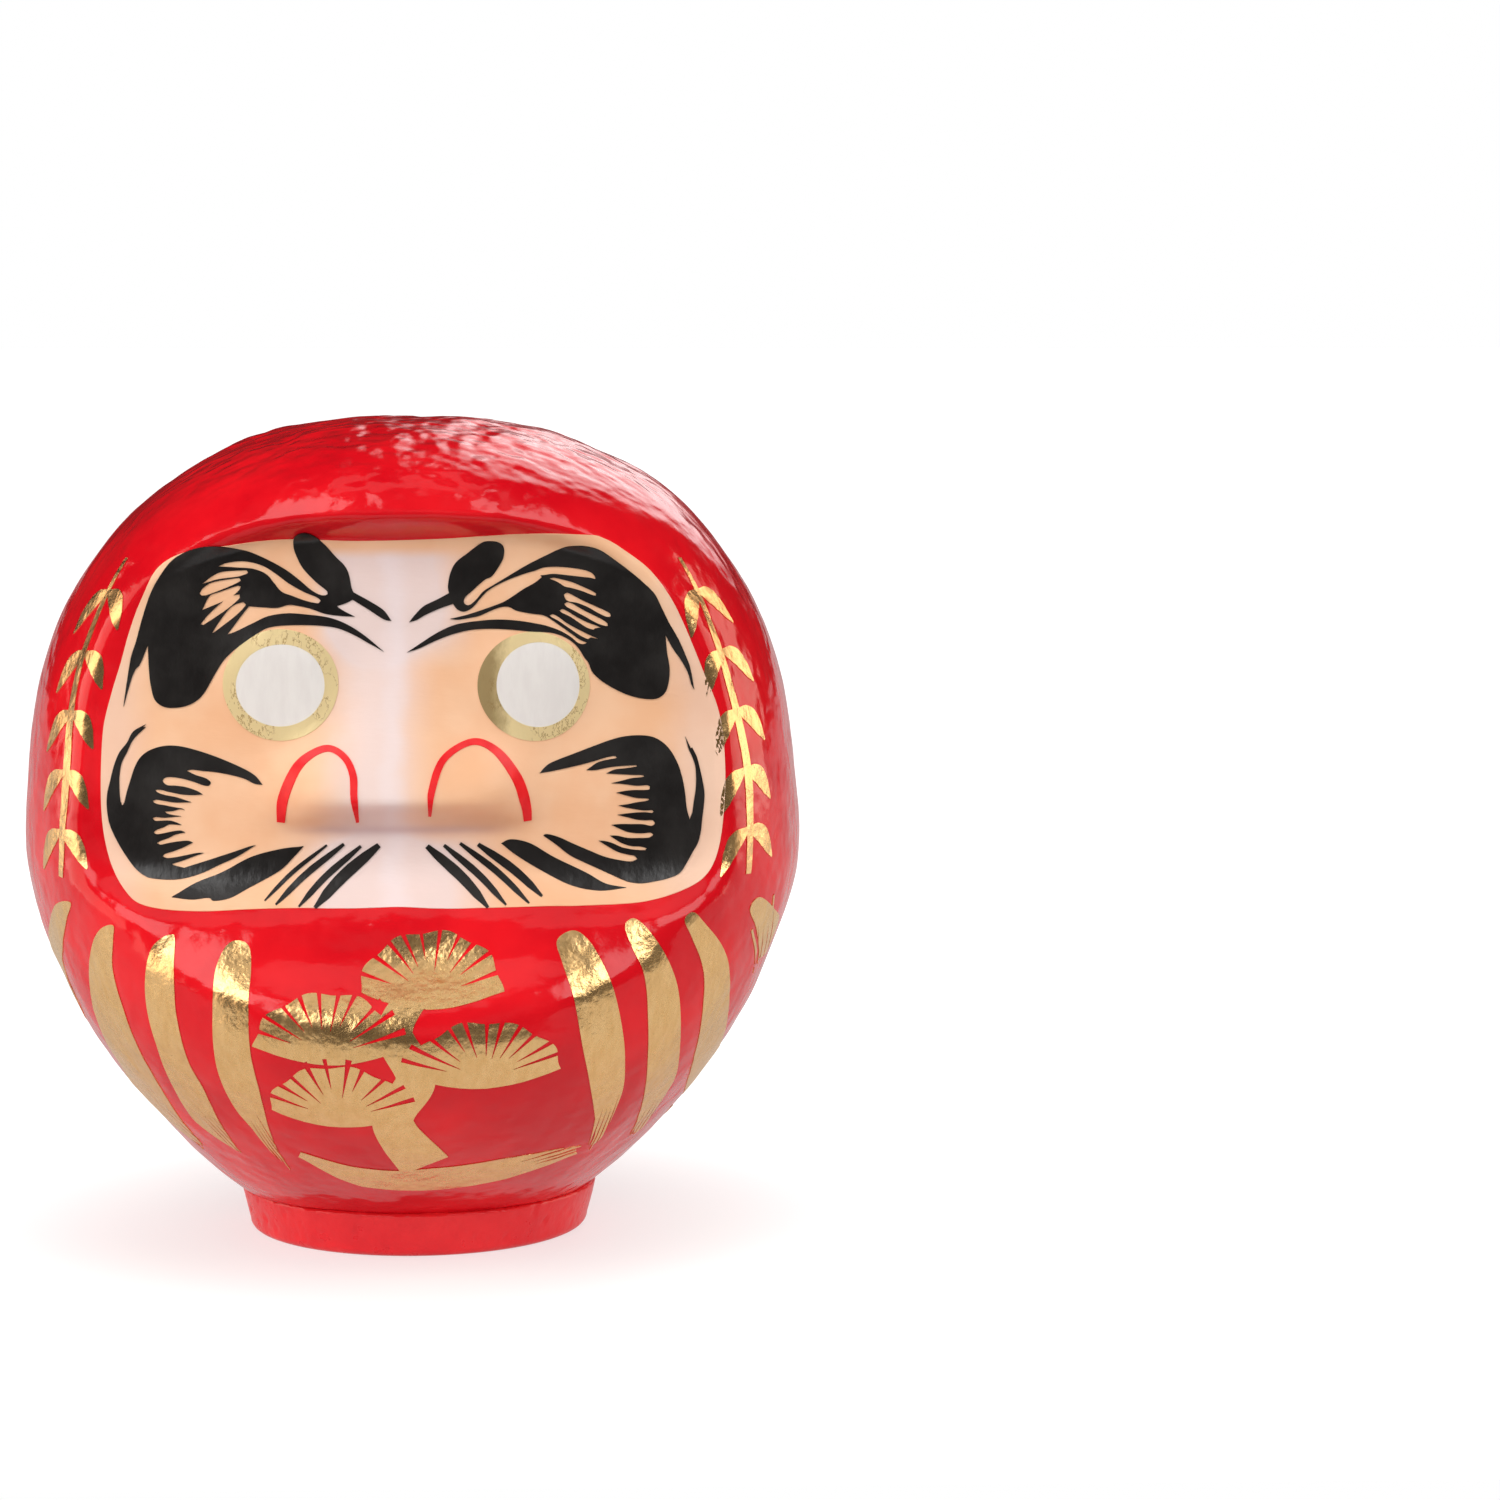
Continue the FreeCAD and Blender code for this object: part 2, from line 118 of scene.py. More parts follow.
def features(x, z):
    """The nose, its wings and the low domes under the eyes."""
    down = np.clip((NOSE_TOP - z) / (NOSE_TOP - NOSE_TIP), 0, 1)
    rise = np.where(z > NOSE_TIP, NOSE_RISE * down ** 1.5 * (1.5 - 0.5 * down),
                    NOSE_RISE * smooth((z - NOSE_UNDER) / (NOSE_TIP - NOSE_UNDER)))
    ridge = rise * np.exp(-(np.abs(x) / (8 + 10 * smooth(down))) ** 2.6)
    wing = NOSTRIL_RISE * hill((np.abs(x) - NOSTRIL_SPREAD) / 7.5) * hill((z - NOSE_TIP - 2) / 8.5)
    wing = wing * smooth((z - NOSE_UNDER) / 5)
    eye = ((np.abs(x) - EYE_SPREAD) / EYE_REACH) ** 2 + ((z - EYE_HEIGHT) / EYE_REACH) ** 2
    return ridge + wing + EYE_SWELL * hill(eye)


def front_depth(x, z, plain):
    """How far the front reaches: the plain swell, with the face pressed in and the ridge over it."""
    up = z - FACE_MID
    reach = np.where(up > 0, FACE_TOP - FACE_MID, FACE_MID - FACE_BOTTOM)
    power = np.where(up > 0, 3.0, 4.0)
    share = ((np.abs(x) / FACE_HALF_WIDTH) ** power + (np.abs(up) / reach) ** power) ** (1 / power)
    away = np.hypot(x, up) * (1 - 1 / np.maximum(share, 1e-6))
    up = up / np.maximum(np.hypot(x, up), 1e-6)
    inside = 1 - smooth((away + 1) / (FACE_EDGE_ROLL + CHEST_ROLL * smooth(-1.6 * up)))
    chin = CHIN_SWELL * hill((z - CHIN_HEIGHT) / 7)
    face = FACE_DEPTH + 1.5 * smooth((FACE_MID + 17 - z) / 20) + chin
    face = face - FACE_FALL * (x / FACE_HALF_WIDTH) ** 2 + features(x, z)
    beyond = away - BROW_ABOVE_FACE
    ridge = BROW_RISE * hill(beyond / np.where(beyond > 0, 8.0, 7.5))
    ridge = ridge * (0.2 + 0.8 * smooth(1.5 * up)) * smooth(2 * (up + 0.5))
    return face * inside + plain * (1 - inside) + ridge


def skin(turn, z):
    """Points of the bare form. Turn is 0 at the middle of the front and grows to the doll's left."""
    sine, cosine = np.sin(turn), np.cos(turn)
    power = 2 / (2 + SQUARENESS * smooth((z - FOOT_HEIGHT) / 50))
    x = swell(z, WIDEST_HEIGHT, WIDTH / 2, CROWN_POWER) * np.sign(sine) * np.abs(sine) ** power
    back = swell(z, WIDEST_HEIGHT, BACK_DEPTH, CROWN_POWER) * np.abs(cosine) ** power
    plain = swell(z, BELLY_HEIGHT, BELLY_DEPTH, FRONT_POWER) * np.abs(cosine) ** power
    fore = -plain - (front_depth(x, z, plain) - plain) * smooth(cosine / 0.25)
    return np.stack(np.broadcast_arrays(x, np.where(cosine < 0, back, fore), z), -1)


def outward(turn, z):
    """The way out of the bare form, square to its skin."""
    across = skin(turn + 1e-3, z) - skin(turn - 1e-3, z)
    along = skin(turn, np.minimum(z + 0.02, HEIGHT - 0.001)) - skin(turn, z - 0.02)
    normal = np.cross(across, along)
    return normal / np.maximum(np.linalg.norm(normal, axis=-1, keepdims=True), 1e-9)


def dents(points):
    """How far the pulp stands proud of the form: broad dents, small ones, and puckers on the crown."""
    flat = points.reshape(-1, 3)
    out = np.empty(len(flat))
    for i, (x, y, z) in enumerate(flat):
        p = Vector((x, y, z))
        face = math.exp(-((x / 62) ** 4 + ((z - 118) / 38) ** 4)) if y < 0 else 0.0
        crown = min(max((z - 158) / 14, 0), 1) * (1 - 0.75 * math.exp(-((z - 163) / 5) ** 2))
        rise = 0.75 * noise.noise(p / 31) + 0.28 * noise.noise(p / 12 + Vector((9, 0, 0)))
        rise += 0.09 * noise.noise(p / 4.5 + Vector((0, 5, 0)))
        rise += crown * (0.5 * noise.noise(p / 7.5) + 0.12 * noise.noise(p / 3.2))
        out[i] = rise * (1 - 0.55 * face)
    return out.reshape(points.shape[:-1])


def surface(turn, z, level=0.0):
    """Points of the dented skin, in millimetres, a little above it where there is paint."""
    base = skin(turn, z)
    return base + outward(turn, z) * (dents(base) + level)[..., None]


def mesh_object(name, points, faces):
    """A mesh in the row frame, from points in millimetres, with its faces turned outward."""
    mesh = bpy.data.meshes.new(name)
    mesh.from_pydata((np.asarray(points) / 1000).tolist(), [], faces)
    made = bmesh.new()
    made.from_mesh(mesh)
    bmesh.ops.recalc_face_normals(made, faces=made.faces)
    made.to_mesh(mesh)
    made.free()
    piece = bpy.data.objects.new(name, mesh)
    bpy.context.scene.collection.objects.link(piece)
    return piece


def finish_mesh(piece, sharp_degrees):
    """Smooths the shading, except over edges that turn more sharply than this."""
    piece.data.shade_smooth()
    piece.data.set_sharp_from_angle(angle=math.radians(sharp_degrees))


class Wire:
    """A socket of a material's nodes, which Python's operators work on."""

    def __init__(self, tree, socket=None):
        self.tree, self.socket = tree, socket

    def node(self, kind, settings=None, inputs=None, output=0):
        """Adds a node: its settings are set first, then the values or links of its sockets."""
        made = self.tree.nodes.new("ShaderNode" + kind)
        for key, value in (settings or {}).items():
            setattr(made, key, value)
        for key, value in (inputs or {}).items():
            if isinstance(value, Wire):
                self.tree.links.new(value.socket, made.inputs[key])
            elif value is not None:
                made.inputs[key].default_value = value
        return Wire(self.tree, made.outputs[output])

    def math(self, operation, *others):
        return self.node("Math", {"operation": operation}, dict(enumerate((self, *others))))

    def __add__(self, other):
        return self.math("ADD", other)

    def __sub__(self, other):
        return self.math("SUBTRACT", other)

    def __rsub__(self, other):
        return self.math("MULTIPLY_ADD", -1.0, other)

    def __mul__(self, other):
        return self.math("MULTIPLY", other)

    def __truediv__(self, other):
        return self.math("DIVIDE", other)

    def __abs__(self):
        return self.math("ABSOLUTE")

    __radd__ = __add__
    __rmul__ = __mul__

    def step(self, low, high):
        """Rises smoothly from 0 at low to 1 at high."""
        return self.node("MapRange", {"interpolation_type": "SMOOTHSTEP"},
                         {"Value": self, "From Min": low, "From Max": high})

    def mix(self, start, end):
        """A colour from start to end by this share."""
        start, end = [c if isinstance(c, Wire) else (*c, 1) for c in (start, end)]
        return self.node("Mix", {"data_type": "RGBA"}, {0: self, 6: start, 7: end}, 2)

    def axes(self):
        return [self.node("SeparateXYZ", inputs={0: self}, output=i) for i in range(3)]

    def speckle(self, scale, detail=2.0, rough=0.5, stretch=(1, 1, 1)):
        """Noise over a place in metres. A stretch below 1 draws it out along that axis."""
        place = self.node("Mapping", inputs={"Vector": self, "Scale": stretch})
        return self.node("TexNoise", inputs={"Vector": place, "Scale": scale, "Detail": detail,
                                             "Roughness": rough})

    def bump(self, strength, reach, under=None):
        return self.node("Bump", inputs={"Height": self, "Strength": strength, "Distance": reach,
                                         "Normal": under})


def finish(name):
    """A new material: the place on the object, and its surface shader's node."""
    material = bpy.data.materials.new(name)
    material.use_nodes = True
    tree = material.node_tree
    shader = next(n for n in tree.nodes if n.type == "BSDF_PRINCIPLED")
    place = Wire(tree).node("TexCoord", output=3)
    return material, place, shader


def wear(shader, **sockets):
    """Sets sockets of a surface shader. An underscore in a name stands for a space."""
    for key, value in sockets.items():
        socket = shader.inputs[key.replace("_", " ")]
        if isinstance(value, Wire):
            value.tree.links.new(value.socket, socket)
        else:
            socket.default_value = value


enamel, place, shader = finish("red_enamel")
cloud = place.speckle(45, 3)
strokes = place.speckle(260, 3, 0.6, (0.35, 1, 1))
grain = place.speckle(1500, 2)
puckers = place.speckle(190, 1) * (1 + 2.5 * place.axes()[2].step(0.160, 0.170))
red = cloud.step(0.3, 0.75).mix((0.64, 0.003, 0.010), (0.83, 0.008, 0.015))
ripple = (strokes * 0.8 + grain * 0.2).bump(0.15, 0.0006)
wear(shader, Base_Color=red, Roughness=0.06 + 0.16 * place.speckle(120, 4, 0.6),
     Specular_IOR_Level=0.32, Normal=puckers.bump(0.35, 0.0011, ripple))

LOW_ROWS, HIGH_ROWS, ROUND = 84, 170, 520
FRONT_CROWDING = 0.42
heights = FOOT_HEIGHT + (WIDEST_HEIGHT - FOOT_HEIGHT) * (np.arange(LOW_ROWS) / LOW_ROWS) ** 1.1
rise = np.sin(math.pi / 2 * np.arange(HIGH_ROWS) / HIGH_ROWS)
heights = np.append(heights, WIDEST_HEIGHT + (HEIGHT - WIDEST_HEIGHT) * rise)
turns = 2 * math.pi * np.arange(ROUND) / ROUND - math.pi
turns = turns - FRONT_CROWDING * np.sin(turns)
outside = surface(turns[None, :], heights[:, None])
outside[0, :, 2] = FOOT_HEIGHT
lining_rows = heights[::-4]
lining = skin(turns[None, :], lining_rows[:, None])
lining = lining - WALL * outward(turns[None, :], lining_rows[:, None])
lining[:, :, 2] = np.maximum(lining[:, :, 2], FOOT_HEIGHT + WALL)
mouth = SPIGOT_BORE * np.stack([np.sin(turns), -np.cos(turns)], -1)
rings = [*outside, *lining]
for z in (FOOT_HEIGHT + WALL, FOOT_HEIGHT):
    rings.append(np.column_stack([mouth, np.full(ROUND, z)]))
points = np.concatenate(rings)
faces = []
crown_row = len(outside) - 1
for row in range(len(rings)):
    if row == crown_row:
        continue
    here, above = row * ROUND, (row + 1) % len(rings) * ROUND
    for i in range(ROUND):
        j = (i + 1) % ROUND
        faces.append((here + i, here + j, above + j, above + i))
for row, top in ((crown_row, HEIGHT + 0.1), (crown_row + 1, HEIGHT - WALL)):
    points = np.vstack([points, [0, 0, top]])
    here = row * ROUND
    for i in range(ROUND):
        faces.append((here + i, here + (i + 1) % ROUND, len(points) - 1))
whole = mesh_object("whole_body", points, faces)

for name, front in (("front_half", True), ("rear_half", False)):
    half = bmesh.new()
    half.from_mesh(whole.data)
    everything = half.verts[:] + half.edges[:] + half.faces[:]
    cut = bmesh.ops.bisect_plane(half, geom=everything, plane_co=(0, SEAM_Y / 1000, 0),
                                 plane_no=(0, 1, 0), clear_outer=front, clear_inner=not front)
    edges = [e for e in cut["geom_cut"] if isinstance(e, bmesh.types.BMEdge)]
    bmesh.ops.triangle_fill(half, edges=edges, use_beauty=True)
    bmesh.ops.recalc_face_normals(half, faces=half.faces)
    mesh = bpy.data.meshes.new(name)
    half.to_mesh(mesh)
    half.free()
    piece = bpy.data.objects.new(name, mesh)
    bpy.context.scene.collection.objects.link(piece)
    piece.data.materials.append(enamel)
    finish_mesh(piece, 50)
    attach(piece, "root")
    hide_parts("front_shell" if front else "rear_shell")
bpy.data.objects.remove(whole)

# Strips of thick paper are pasted over the joint inside, one up each side and one over the crown.
# They are plain torn paper, stained with paste, and only the inside of the body shows them.
paste_paper, place, shader = finish("paste_paper")
stain = place.speckle(60, 4)
fibre = place.speckle(900, 3, 0.7, (1, 1, 0.3))
wear(shader, Base_Color=stain.step(0.35, 0.7).mix((0.55, 0.47, 0.34), (0.70, 0.64, 0.52)),
     Roughness=0.75 + 0.2 * fibre, Normal=fibre.bump(0.4, 0.0004))
for side in ("left", "right", "crown"):
    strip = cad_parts["seam_strip_" + side]
    strip.data.materials.clear()
    strip.data.materials.append(paste_paper)

# The foot is a round weight of fired clay, pressed in a mould, with a peg hole through it. It is
# glued into the body's mouth by its spigot, and dipped in the same enamel, which fills its pits.
PEG_RADIUS = 5.0
PEG_CHAMFER = 0.6
FOOT_BASE = 37.2
FOOT_EDGE = 2.0
SPIGOT_RADIUS = 33.0
SPIGOT_TOP = 17.0
foot_profile = [(PEG_RADIUS, PEG_CHAMFER), (PEG_RADIUS + PEG_CHAMFER, 0), (20, 0), (34.4, 0)]
for i in range(7):
    angle = math.pi / 2 * i / 6
    out = FOOT_BASE - FOOT_EDGE + FOOT_EDGE * math.sin(angle)
    foot_profile.append((out, FOOT_EDGE - FOOT_EDGE * math.cos(angle)))
foot_profile += [(FOOT_BASE + 1.75 * t, FOOT_EDGE + 7.2 * t) for t in np.linspace(0.1, 1, 10)]
foot_profile += [(38.8, 9.6), (38.3, FOOT_HEIGHT - 0.05), (SPIGOT_RADIUS, FOOT_HEIGHT - 0.05),
                 (SPIGOT_RADIUS, 12), (SPIGOT_RADIUS, SPIGOT_TOP - 0.5), (SPIGOT_RADIUS - 0.5, SPIGOT_TOP),
                 (20, SPIGOT_TOP), (PEG_RADIUS, SPIGOT_TOP)]
FOOT_ROUND = 420
rings = []
for radius, z in foot_profile:
    ring = []
    for i in range(FOOT_ROUND):
        turn = 2 * math.pi * i / FOOT_ROUND
        p = Vector((radius * math.cos(turn), radius * math.sin(turn), z))
        side = min(max((radius - 36) / 1.5, 0), 1)
        pit = min(noise.noise(p / 2.1 + Vector((3, 3, 0))) + 0.28, 0) * 0.9
        bulge = 0.35 * noise.noise(p / 17) + 0.1 * noise.noise(p / 5) + pit
        out = radius + side * min(bulge, 0.2)
        ring.append((out * math.cos(turn), out * math.sin(turn), z))
    rings.append(ring)
faces = []
for row in range(len(rings)):
    here, above = row * FOOT_ROUND, (row + 1) % len(rings) * FOOT_ROUND
    for i in range(FOOT_ROUND):
        j = (i + 1) % FOOT_ROUND
        faces.append((here + i, here + j, above + j, above + i))
foot = mesh_object("clay_foot", np.concatenate(rings), faces)
foot_enamel, place, shader = finish("foot_enamel")
cloud = place.speckle(70, 3)
wear(shader, Base_Color=cloud.step(0.3, 0.7).mix((0.76, 0.008, 0.016), (0.88, 0.016, 0.022)),
     Roughness=0.2 + 0.2 * place.speckle(200, 3),
     Normal=place.speckle(420, 4, 0.6).bump(0.35, 0.0007))
foot.data.materials.append(foot_enamel)
finish_mesh(foot, 35)
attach(foot, "root")
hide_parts("foot_weight")

# The face is a satin ground of flesh colour, brushed into the pressed-in hollow. White is then
# blown on down the forehead and nose and at the temples, and a violet line of painted shade under the nose.
UNROLL = 84.0
PAINT_THICKNESS = 0.2
FIRST_COAT = 0.14
DISC_COAT = 0.26
RING_COAT = 0.30
ARCH_COAT = 0.32
LACQUER_COAT = 0.34


def read_through_camera(dots):
    """Places on the skin that the camera sees at these dots of its frame: millimetres round the
    body, unrolled at a steady radius, and the height."""
    aside, down = CAMERA_ASIDE, CAMERA_DOWN
    level = math.cos(down)
    forward = np.array([math.sin(aside) * level, math.cos(aside) * level, -math.sin(down)])
    right = np.array([math.cos(aside), -math.sin(aside), 0])
    above = np.cross(right, forward)
    dots = (np.asarray(dots, float) - FRAME_DOTS / 2) / LENS_DOTS
    ray = forward + right * dots[:, :1] - above * dots[:, 1:]
    y = np.full(len(ray), -55.0)
    for _ in range(90):
        x, _, z = (CAMERA_PLACE + ray * ((y - CAMERA_PLACE[1]) / ray[:, 1])[:, None]).T
        reach = swell(z, WIDEST_HEIGHT, WIDTH / 2, CROWN_POWER)
        power = 2 + SQUARENESS * smooth((z - FOOT_HEIGHT) / 50)
        turn = np.arcsin(np.sign(x) * np.clip(np.abs(x) / reach, 0, 1) ** (power / 2))
        y = y + 0.4 * (skin(turn, z)[:, 1] - y)
    return np.column_stack([turn * UNROLL, z])


def bend(stops, fineness):
    """Fine points of a smooth curve through the stops, its last one left out."""
    stops = np.asarray(stops, float)
    ends = np.vstack([2 * stops[0] - stops[1], stops, 2 * stops[-1] - stops[-2]])
    out = []
    for a, b, c, d in zip(ends, ends[1:], ends[2:], ends[3:]):
        steps = max(1, int(np.linalg.norm(c - b) / fineness))
        for t in np.arange(steps) / steps:
            out.append(0.5 * (2 * b + (c - a) * t + (2 * a - 5 * b + 4 * c - d) * t * t
                              + (3 * b - a - 3 * c + d) * t ** 3))
    return out


def traced(text, sheet=(0, 0, 1.0)):
    """An outline on the skin. A slash marks a corner, and between corners the line is smooth. The
    sheet gives the corner and the scale of the enlarged view that the numbers were read from."""
    x0, y0, scale = sheet
    stops, corners = [], []
    for i, item in enumerate(text.split()):
        x, y = item.rstrip("/").split(",")
        stops.append((x0 + float(x) / scale, y0 + float(y) / scale))
        if item.endswith("/"):
            corners.append(i)
    if not corners:
        corners = [0]
    stops = stops[corners[0]:] + stops[:corners[0]]
    cuts = [c - corners[0] for c in corners] + [len(stops)]
    stops.append(stops[0])
    line = []
    for a, b in zip(cuts, cuts[1:]):
        line += bend(stops[a:b + 1], fineness=1.8)
    return read_through_camera(line)


def covered(points, strokes, bare=()):
    """Which points lie inside any of the strokes, and inside none of the bare places."""
    on = np.zeros(len(points), bool)
    for loop, wet in [(loop, True) for loop in strokes] + [(loop, False) for loop in bare]:
        within = np.zeros(len(points), bool)
        for (x0, y0), (x1, y1) in zip(loop, np.roll(loop, -1, 0)):
            if y0 != y1:
                spans = (points[:, 1] > y0) != (points[:, 1] > y1)
                within ^= spans & (points[:, 0] < x0 + (points[:, 1] - y0) * (x1 - x0) / (y1 - y0))
        on = on | within if wet else on & ~within
    return on


def paint(name, strokes, level, material, node, spacing=1.0, bare=()):
    """A coat of paint inside closed outlines: a thin solid that follows every dent of the skin."""
    border, links = [], []
    for loop in [*strokes, *bare]:
        start = len(border)
        border += [tuple(p) for p in loop]
        links += [(start + i, start + (i + 1) % len(loop)) for i in range(len(loop))]
    near = KDTree(len(border))
    for i, (u, v) in enumerate(border):
        near.insert((u, v, 0), i)
    near.balance()
    low, high = np.min(border, 0), np.max(border, 0)
    grid = [(u + (k % 2) * spacing / 2, v)
            for k, v in enumerate(np.arange(low[1], high[1], spacing * 0.87))
            for u in np.arange(low[0], high[0], spacing)]
    grid = np.array(grid)[covered(np.array(grid), strokes, bare)]
    filling = [tuple(p) for p in grid if near.find((p[0], p[1], 0))[2] > 0.45 * spacing]
    flat, _, triangles, *_ = delaunay_2d_cdt([Vector(p) for p in border + filling], links, [], 0, 1e-5)
    flat = np.array([tuple(p) for p in flat])
    triangles = np.array([t for t in triangles if len(t) == 3])
    triangles = triangles[covered(flat[triangles].mean(1), strokes, bare)]
    used, triangles = np.unique(triangles, return_inverse=True)
    triangles = triangles.reshape(-1, 3)
    turn, z = flat[used, 0] / UNROLL, flat[used, 1]
    top = surface(turn, z, level)
    bottom = surface(turn, z, level - PAINT_THICKNESS)
    n = len(used)
    triangles = triangles.tolist()
    faces = [tuple(t) for t in triangles] + [tuple(n + i for i in t[::-1]) for t in triangles]
    sides = {}
    for a, b, c in triangles:
        for edge in ((a, b), (b, c), (c, a)):
            if edge[::-1] in sides:
                del sides[edge[::-1]]
            else:
                sides[edge] = True
    faces += [(b, a, n + a, n + b) for a, b in sides]
    piece = mesh_object(name, np.vstack([top, bottom]), faces)
    piece.data.materials.append(material)
    finish_mesh(piece, 60)
    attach(piece, "root")
    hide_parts(node)


face_edge = """230,545 260,541 300,540 352,541 403,540 440,539 479,537 542,534 588,535 604,539 622,549
647,568 668,594 683,622 702,668 719,712 725,760 724,809 718,850 706,874 683,889 647,900 598,905 530,907
453,910 396,908 345,909 284,909 212,912 171,911 145,907 131,899 118,880 110,859 104,833 101,802 101,761
104,724 112,692 121,662 130,630 143,596 160,568 190,551"""
flesh, place, shader = finish("face_flesh")
x, y, z = place.axes()
patchy = place.speckle(55, 3, 0.6)
x_soft = x + 0.008 * (patchy - 0.5)
middle = 1 - abs(x_soft + 0.0055).step(0.001, 0.0135)
spine = 1 - abs(x_soft + 0.0018).step(0.0, 0.004)
forehead = (1 - abs(x_soft + 0.0025).step(0.007, 0.019)) * z.step(0.127, 0.137)
lip = (1 - abs(x_soft + 0.002).step(0.008, 0.024)) * (1 - z.step(0.090, 0.0955))
temple = 0.3 * abs(x_soft).step(0.050, 0.060)
blown = (0.85 * middle + forehead + lip + temple).math("MINIMUM", 0.92)
top_band = z.step(0.1505, 0.1535)
peach = patchy.step(0.3, 0.7).mix((0.90, 0.50, 0.28), (0.94, 0.58, 0.36))
tinted = (blown * (1 - top_band)).mix(peach, (0.83, 0.68, 0.655))
tinted = (spine * (1 - top_band) * 0.4).mix(tinted, (0.88, 0.79, 0.82))
# A dark violet line just under the nose, with a faint lilac haze round it, is painted shade under the nose's
# ledge.
across = 1 - abs(x_soft + 0.001).step(0.010, 0.027)
line = (z - 0.0950) / 0.0011
tinted = ((0 - line * line).math("EXPONENT") * across * 0.5).mix(tinted, (0.52, 0.33, 0.35))
nose_shade_haze = (z - 0.0955) / 0.0045
tinted = ((0 - nose_shade_haze * nose_shade_haze).math("EXPONENT") * across * 0.15).mix(tinted, (0.86, 0.70, 0.72))
brushed = place.speckle(420, 3, 0.6, (0.3, 1, 1))
wear(shader, Base_Color=tinted, Roughness=0.42 + 0.15 * patchy, Specular_IOR_Level=0.45,
     Normal=(brushed * 0.5 + place.speckle(160, 2) * 0.5).bump(0.25, 0.0007))
paint("face_coat", [traced(face_edge)], FIRST_COAT, flesh, "face_ground", 1.1)

# The eyes are left blank for their owner to fill in: flat discs of grey-white, each in a gold
# ring that was brushed round it by hand, so that it is broader on one side.
eye_white, place, shader = finish("eye_white")
brushed = place.speckle(500, 3, 0.6, (1, 1, 0.25))
wear(shader, Base_Color=brushed.step(0.3, 0.7).mix((0.77, 0.73, 0.70), (0.81, 0.775, 0.74)),
     Roughness=0.5, Normal=brushed.bump(0.15, 0.0004))
ring_gold, place, shader = finish("ring_gold")
swirl = place.speckle(330, 4, 0.7, (1, 1, 0.5))
x = place.axes()[0]
marks = (1 - abs(swirl - 0.5).step(0.0, 0.022)) * place.speckle(130, 2).step(0.46, 0.56)
# The ring's gold is a light cream, partly its own colour and partly a painted sheen. A darker patch on the
# nose side of the right ring is a painted reflection.
cream_gold_and_painted_sheen = (marks * 0.8).mix((1.0, 0.80, 0.42), (0.50, 0.30, 0.10))
painted_dark_reflection = x.step(0, 0.002) * (1 - (x + 0.006 * swirl).step(0.021, 0.026))
wear(shader, Base_Color=(painted_dark_reflection * 0.85).mix(cream_gold_and_painted_sheen, (0.34, 0.23, 0.09)), Metallic=0.35,
     Roughness=0.22 + 0.2 * swirl, Normal=swirl.bump(0.3, 0.0009))


def oval(centre, radii, wobble, seed):
    """A hand-drawn oval, in camera dots."""
    draw = random.Random(seed)
    phases = [draw.uniform(0, 6.28) for _ in range(4)]
    line = []
    for i in range(110):
        turn = 2 * math.pi * i / 110
        out = 1 + wobble * sum(math.sin((k + 2) * turn + f) / (k + 1) for k, f in enumerate(phases))
        x = centre[0] + radii[0] * out * math.cos(turn)
        line.append((x, centre[1] + radii[1] * out * math.sin(turn)))
    return read_through_camera(line)


eyes = {"left": ((280.6, 685.4), (44.5, 40.8), (281, 684.8), (57, 56.2)),
        "right": ((538, 684.5), (41.5, 42.1), (533.6, 686.2), (55.3, 54.9))}
for side, (white_centre, white_radii, rim_centre, rim_radii) in eyes.items():
    rim_edge = oval(rim_centre, rim_radii, 0.008, 3)
    white_edge = oval(white_centre, white_radii, 0.008, 5)
    paint("eye_ring_" + side, [rim_edge], RING_COAT, ring_gold, "eye_rim_" + side, 0.9,
          [white_edge])
    paint("eye_disc_" + side, [white_edge], DISC_COAT, eye_white, "eye_white_" + side, 0.9)

# The brows are cranes: a swept wing with slits for feathers, a thin bill towards the nose and an
# oval tuft over it. All the hair is black lacquer, laid on thick with a pointed brush.
lacquer, place, shader = finish("black_lacquer")
pooled = place.speckle(75, 4, 0.6)
bristle = place.speckle(700, 3, 0.6, (1, 1, 0.3))
wear(shader, Base_Color=pooled.step(0.3, 0.75).mix((0.006, 0.005, 0.005), (0.020, 0.018, 0.017)),
     Roughness=0.22 + 0.2 * pooled, Specular_IOR_Level=0.5,
     Normal=(bristle * 0.4 + place.speckle(240, 2) * 0.6).bump(0.3, 0.0008))

left_brow = """1403,608/ 1340,573 1260,528 1180,497 1080,486 960,486 870,497 810,530 740,580 700,612 660,655
620,720 580,790 540,833 480,860 400,864 350,833 330,770 320,690 315,577/ 290,640 275,672/ 258,688/ 238,735
202,860/ 213,780 235,640 260,560 290,450 330,330 370,260 430,190 500,145 570,122 640,118 700,125 780,145
870,185 950,230 1010,275 1060,318 1100,342 1132,347 1141,330 1085,283 1030,225 1000,170 984,120 990,80
1030,62 1080,75 1130,115 1180,170 1220,210 1240,250 1252,310 1262,333/ 1330,370 1400,415 1437,465/
1400,457 1330,412 1257,367/ 1230,382 1185,397/ 1215,418 1268,445/ 1200,442 1130,432 1060,408 1000,395
960,392 910,405 850,403 780,398/ 745,442 683,527/ 720,514 800,475 870,443 960,430 1060,437 1150,450
1230,480 1310,530"""
left_slits = ["""640,213/ 680,197 760,190 840,210 900,245 960,290 1030,330 1090,355 1110,372 1100,384
1040,372 980,350 930,330 895,290 860,250 800,225 720,218""",
              """567,293/ 610,260 660,238 770,232 776,243 730,260 640,272""",
              """553,340 570,313 620,285 735,267 743,278 690,306 580,347""",
              """565,415/ 600,350 650,330 730,303 738,318 690,360 600,400""",
              """558,480 600,430 680,360 737,343 738,358 680,410 570,483""",
              """612,520/ 650,460 700,400 755,378 766,390 720,440 620,517"""]
